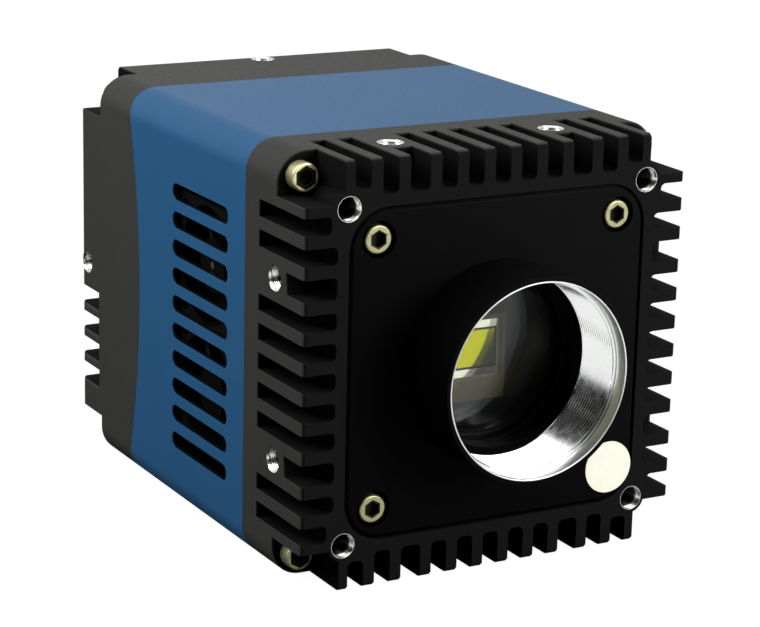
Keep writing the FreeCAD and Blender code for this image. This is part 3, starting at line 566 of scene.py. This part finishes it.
def lathe_grid(form, rings, steps):
    """Closed rings of points joined by faces. Each ring is a function of its angle."""
    rows = []
    for ring in rings:
        row = []
        for step in range(steps):
            angle = 2 * math.pi * step / steps
            row.append(form.verts.new(ring(angle)))
        rows.append(row)
    for first, second in zip(rows, rows[1:] + rows[:1]):
        for step in range(steps):
            after = (step + 1) % steps
            form.faces.new((first[step], first[after], second[after], second[step]))


def thread_rings(centre, axis, side, crest, depth, pitch, start, end, rows_per_turn=8):
    """Rings of a helical thread on a bore's wall, from start to end along the axis."""
    rings = []
    count = max(2, round((end - start) / pitch * rows_per_turn))
    up = axis.cross(side)
    for row in range(count + 1):
        along = start + (end - start) * row / count
        fade = min(1.0, (along - start) / (0.4 * pitch), (end - along) / (0.4 * pitch))

        def ring(angle, along=along, fade=fade):
            wave = (along / pitch - angle / (2 * math.pi)) % 1.0
            height = abs(2 * wave - 1)
            radius = crest + depth * height * max(0.0, fade)
            return centre + axis * along + (side * math.cos(angle) + up * math.sin(angle)) * radius

        rings.append(ring)
    return rings


def plain_ring(centre, axis, side, radius, along):
    up = axis.cross(side)

    def ring(angle):
        return centre + axis * along + (side * math.cos(angle) + up * math.sin(angle)) * radius

    return ring


def make_mount_ring(material):
    """The bright liner: a smooth register at its mouth, then a fine thread."""
    low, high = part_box("mount_ring")
    length = high[1] - low[1]
    outer = high[0]
    register = REGISTER_RADIUS
    groove = REGISTER_RADIUS + GROOVE_DEPTH
    crest = LENS_THREAD_RADIUS
    step = REGISTER_LENGTH
    lip = LINER_LIP
    centre = Vector((0.0, low[1], 0.0))
    axis = Vector((0.0, 1.0, 0.0))
    side = Vector((1.0, 0.0, 0.0))

    def at(radius, along):
        return plain_ring(centre, axis, side, radius, along)

    rings = [at(outer, length), at(outer, lip), at(outer - lip, 0.0), at(register + lip, 0.0),
             at(register, lip), at(register, step - GROOVE_WIDTH - GROOVE_DEPTH),
             at(groove, step - GROOVE_WIDTH), at(groove, step - 0.02 * MM),
             at(crest + 0.25 * MM, step), at(crest, step + 0.2 * MM)]
    rings += thread_rings(centre, axis, side, crest, LENS_THREAD_DEPTH, LENS_THREAD_PITCH,
                          step + 0.3 * MM, length - 0.2 * MM)
    rings.append(at(crest, length))
    form = bmesh.new()
    lathe_grid(form, rings, LINER_STEPS)
    finish_thread(form, "mount_ring", material)


def finish_thread(form, node, material):
    """Make the piece, shaded smooth but for the sharp edges where its faces meet steeply."""
    bmesh.ops.recalc_face_normals(form, faces=form.faces)
    limit = math.radians(THREAD_SMOOTHING)
    for face in form.faces:
        face.smooth = True
    for edge in form.edges:
        if len(edge.link_faces) == 2:
            edge.smooth = edge.calc_face_angle(0.0) < limit
    mesh = bpy.data.meshes.new(node + "_piece")
    form.to_mesh(mesh)
    form.free()
    link_piece(node + "_piece", mesh, material, CASING, [node])


def loose_boxes(node):
    """Lowest and highest corner of each separate solid in a node."""
    form = bmesh.new()
    form.from_mesh(NODES[node].data)
    bmesh.ops.remove_doubles(form, verts=form.verts, dist=1e-7)
    left = set(form.verts)
    boxes = []
    while left:
        stack = [left.pop()]
        seen = [stack[0]]
        while stack:
            vert = stack.pop()
            for edge in vert.link_edges:
                other = edge.other_vert(vert)
                if other in left:
                    left.remove(other)
                    stack.append(other)
                    seen.append(other)
        low = Vector([min(vert.co[axis] for vert in seen) for axis in range(3)])
        high = Vector([max(vert.co[axis] for vert in seen) for axis in range(3)])
        boxes.append((low, high))
    form.free()
    return boxes


def make_inserts(node, material):
    """Threaded sleeves in the holes, their mouths facing out of the body."""
    form = bmesh.new()
    for low, high in loose_boxes(node):
        size = high - low
        centre = (low + high) / 2
        if node == "front_face_inserts":
            lengthwise, outward = 1, -1.0
        else:
            lengthwise = 0 if abs(centre.x) > abs(centre.z) else 2
            outward = math.copysign(1.0, centre[lengthwise])
        axis = Vector((0.0, 0.0, 0.0))
        axis[lengthwise] = -outward
        side = Vector((0.0, 0.0, 1.0)) if lengthwise != 2 else Vector((1.0, 0.0, 0.0))
        length = size[lengthwise]
        outer = size[(lengthwise + 1) % 3] / 2
        mouth = centre.copy()
        mouth[lengthwise] = centre[lengthwise] + outward * length / 2

        def at(radius, along):
            return plain_ring(mouth, axis, side, radius, along)

        rings = [at(outer, length), at(outer, 0.0), at(outer - HOLE_LIP, 0.0),
                 at(HOLE_BORE, HOLE_CHAMFER)]
        rings += thread_rings(mouth, axis, side, HOLE_BORE, HOLE_THREAD_DEPTH, HOLE_THREAD_PITCH,
                              HOLE_CHAMFER + 0.05 * MM, length - 0.1 * MM, rows_per_turn=6)
        rings.append(at(HOLE_BORE, length))
        lathe_grid(form, rings, HOLE_STEPS)
    finish_thread(form, node, material)


# The whole camera

def dress_camera():
    # the front end face's near black is painted shade; the rear end colour is close to the casting's
    # own grey
    front = casting_with_painted_shade("front_casting", (0.035, 0.035, 0.033), (0.037, 0.037, 0.035),
                            (0.002, 0.002, 0.002), FACE_Y, 1)
    rear = casting_with_painted_shade("rear_casting", (0.038, 0.038, 0.036), (0.040, 0.040, 0.038),
                           (0.034, 0.034, 0.033), BACK_Y, -1)
    softened("front_housing", front, CASTING_EDGE)
    softened("lens_plate", plate_black(), PLATE_EDGE, prepare=chamfer_plate_rim)
    softened("rear_housing", rear, CASTING_EDGE)
    softened("cover", blue_anodised(), COVER_EDGE)
    # the last number scales each set's colour as painted light
    for node, socket_half, shade in (("plate_screws", SOCKET_HALF, 0.9),
                                     ("rear_corner_screws", SOCKET_HALF, 1.0),
                                     ("front_corner_screws", POCKET_SHADE_SOCKET_HALF, 2.0)):
        softened(node, screw_metal(node, socket_half, shade), SCREW_EDGE)
    make_mount_ring(machined_aluminium())
    make_inserts("front_face_inserts", bright_thread("face_thread", face_mouth))
    side_thread = bright_thread("side_thread", side_mouth)
    make_inserts("side_inserts", side_thread)
    make_inserts("rear_inserts", side_thread)
    softened("round_sticker", sticker_white(), SMALL_EDGE)
    make_cover_glass()


def make_cover_glass():
    """The chip's pane, its back lifted by a hair off the ledge that it lies on."""
    piece = softened("sensor_cover_glass", coated_glass("cover_glass", 1.08), GLASS_EDGE)
    low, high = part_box("sensor_cover_glass")
    middle_y = (low[1] + high[1]) / 2
    for vert in piece.data.vertices:
        if vert.co.y > middle_y:
            vert.co.y -= GLASS_LIFT


PLAIN_FINISHES = {
    "black_rubber": grained("black_rubber", (0.003, 0.003, 0.003), 0.75, specular=0.1),
    "black_retainer": grained("black_retainer", (0.003, 0.003, 0.003), 0.6, specular=0.1),
    "grey_pad": grained("grey_pad", (0.30, 0.33, 0.38), 0.8),
    "window_glass": coated_glass("coated_glass", 1.33),
    "sensor_ceramic": package_ceramic(),
    "sensor_surface": sensor_mirror(),
    "circuit_board": circuit_board(),
    "black_plastic": grained("black_plastic", (0.002, 0.002, 0.002), 0.6, specular=0.08),
    "bearing_bronze": grained("bearing_bronze", (0.55, 0.38, 0.17), 0.4, metallic=1.0),
    "copper_winding": grained("copper_winding", (0.62, 0.25, 0.10), 0.35, metallic=1.0),
    "plated_socket": grained("plated_socket", (0.66, 0.66, 0.63), 0.28, metallic=1.0, spread=0.03),
    "gold_contact": grained("gold_contact", (0.85, 0.60, 0.20), 0.25, metallic=1.0, spread=0.05),
    "clear_guide": grained("clear_guide", (0.75, 0.85, 0.75), 0.15),
    "bare_aluminium": grained("bare_aluminium", (0.80, 0.81, 0.80), 0.35, metallic=1.0),
    "screw_steel": grained("inner_steel", (0.60, 0.59, 0.55), 0.35, metallic=1.0),
}


def finish_inner_nodes():
    """The inner pieces keep their CAD shapes and take a finish by their record slot."""
    for entry in frame["record"]["subparts"]:
        material = PLAIN_FINISHES.get(entry["material_slot"])
        if material is not None:
            set_material(NODES[entry["node"]], material)


# Studio

def make_world():
    """A studio: white to the camera, white behind and overhead in reflections, dark in front."""
    world = bpy.data.worlds.new("studio")
    bpy.context.scene.world = world
    world.use_nodes = True
    tree = world.node_tree
    tree.nodes.clear()
    out = tree.nodes.new("ShaderNodeOutputWorld")
    place = tree.nodes.new("ShaderNodeTexCoord")
    axes = tree.nodes.new("ShaderNodeSeparateXYZ")
    tree.links.new(place.outputs["Generated"], axes.inputs["Vector"])
    behind = rise(tree, axes.outputs["Y"], *BACKDROP_EDGE)
    overhead = rise(tree, axes.outputs["Z"], *CEILING_EDGE)
    toward = tree.nodes.new("ShaderNodeVectorMath")
    toward.operation = "DOT_PRODUCT"
    toward.inputs[1].default_value = SOFTBOX_WAY
    tree.links.new(place.outputs["Generated"], toward.inputs[0])
    softbox = rise(tree, toward.outputs["Value"], *SOFTBOX_EDGE)
    lit = math_node(tree, "MAXIMUM", math_node(tree, "MULTIPLY", behind, BACKDROP_LIGHT), overhead)
    lit = math_node(tree, "MAXIMUM", math_node(tree, "MULTIPLY", softbox, SOFTBOX_LIGHT), lit)
    room = tree.nodes.new("ShaderNodeBackground")
    tree.links.new(math_node(tree, "MAXIMUM", lit, DARK_ROOM), room.inputs["Strength"])
    white = tree.nodes.new("ShaderNodeBackground")
    white.inputs["Strength"].default_value = 1.0
    fill = tree.nodes.new("ShaderNodeBackground")
    fill.inputs["Strength"].default_value = FILL_LIGHT
    for node in (room, white, fill):
        node.inputs["Color"].default_value = (1.0, 1.0, 1.0, 1.0)
    rays = tree.nodes.new("ShaderNodeLightPath")
    glossy = tree.nodes.new("ShaderNodeMixShader")
    tree.links.new(rays.outputs["Is Glossy Ray"], glossy.inputs["Fac"])
    tree.links.new(fill.outputs["Background"], glossy.inputs[1])
    tree.links.new(room.outputs["Background"], glossy.inputs[2])
    seen = math_node(tree, "MAXIMUM", rays.outputs["Is Camera Ray"],
                     rays.outputs["Is Transmission Ray"])
    mix = tree.nodes.new("ShaderNodeMixShader")
    tree.links.new(seen, mix.inputs["Fac"])
    tree.links.new(glossy.outputs["Shader"], mix.inputs[1])
    tree.links.new(white.outputs["Background"], mix.inputs[2])
    tree.links.new(mix.outputs["Shader"], out.inputs["Surface"])


def make_lamp(name, lamp_values, in_reflections=True):
    """A square soft lamp that faces the object's middle."""
    place, width, power = lamp_values
    data = bpy.data.lights.new(name, "AREA")
    data.shape = "RECTANGLE"
    data.size = width
    data.size_y = width
    data.energy = power
    lamp = bpy.data.objects.new(name, data)
    bpy.context.scene.collection.objects.link(lamp)
    middle = (Vector(cad_box[0]) + Vector(cad_box[1])) / 2
    lamp.location = middle + Vector(place)
    lamp.rotation_mode = "QUATERNION"
    lamp.rotation_quaternion = (-Vector(place)).to_track_quat("-Z", "Y")
    lamp.visible_glossy = in_reflections


def make_floor():
    """A pale plain floor just under the object, white to the camera but for the shadow on it."""
    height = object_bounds()[0].z - FLOOR_GAP
    mesh = bpy.data.meshes.new("floor")
    corners = [(-1, -1), (1, -1), (1, 1), (-1, 1)]
    mesh.from_pydata([(x * FLOOR_HALF, y * FLOOR_HALF, height) for x, y in corners], [],
                     [(0, 1, 2, 3)])
    floor = bpy.data.objects.new("floor", mesh)
    bpy.context.scene.collection.objects.link(floor)
    material = new_material("floor_white", (FLOOR_GREY, FLOOR_GREY, FLOOR_GREY), 0.9, specular=0.0)
    tree = material.node_tree
    rays = tree.nodes.new("ShaderNodeLightPath")
    axes = object_axes(tree)
    far = math_node(tree, "MULTIPLY", rise(tree, axes["Y"], *FLOOR_BACK_EDGE),
                    rise(tree, axes["X"], *FLOOR_LEFT_EDGE))
    lit = math_node(tree, "MAXIMUM", rise(tree, axes["Y"], *FLOOR_FRONT_EDGE),
                    math_node(tree, "MULTIPLY", far, BACKDROP_LIGHT))
    seen = math_node(tree, "MAXIMUM", rays.outputs["Is Camera Ray"],
                     rays.outputs["Is Transmission Ray"])
    strength = math_node(tree, "MAXIMUM", math_node(tree, "MAXIMUM", lit, DARK_FLOOR),
                         math_node(tree, "MULTIPLY", seen, FLOOR_GLOW))
    glow = tree.nodes.new("ShaderNodeEmission")
    glow.inputs["Color"].default_value = (1.0, 1.0, 1.0, 1.0)
    tree.links.new(strength, glow.inputs["Strength"])
    mix = tree.nodes.new("ShaderNodeMixShader")
    share = math_node(tree, "MAXIMUM", math_node(tree, "MULTIPLY", seen, FLOOR_SHARE),
                      rays.outputs["Is Glossy Ray"])
    tree.links.new(share, mix.inputs["Fac"])
    tree.links.new(shader_of(material).outputs["BSDF"], mix.inputs[1])
    tree.links.new(glow.outputs["Emission"], mix.inputs[2])
    tree.links.new(mix.outputs["Shader"], tree.nodes["Material Output"].inputs["Surface"])
    set_material(floor, material)


def make_camera():
    """The camera at the photograph's place and angle."""
    data = bpy.data.cameras.new("camera")
    data.lens = CAMERA_LENS
    data.sensor_width = CAMERA_SENSOR
    data.clip_start = 0.01
    data.clip_end = 50.0
    camera = bpy.data.objects.new("camera_view", data)
    bpy.context.scene.collection.objects.link(camera)
    turn = math.radians(CAMERA_TURN)
    dip = math.radians(CAMERA_DIP)
    forward = Vector((math.sin(turn) * math.cos(dip), math.cos(turn) * math.cos(dip),
                      -math.sin(dip)))
    level = forward.to_track_quat("-Z", "Y").to_matrix()
    roll = Matrix.Rotation(math.radians(CAMERA_ROLL), 3, forward)
    camera.rotation_mode = "QUATERNION"
    camera.rotation_quaternion = (roll @ level).to_quaternion()
    camera.location = CAMERA_PLACE
    bpy.context.scene.camera = camera


bpy.context.scene.view_settings.view_transform = "Standard"
make_camera()
make_world()
make_lamp("left_lamp", LEFT_LAMP)
make_lamp("front_lamp", FRONT_LAMP)
make_lamp("back_lamp", BACK_LAMP, in_reflections=False)
dress_camera()
finish_inner_nodes()
make_floor()
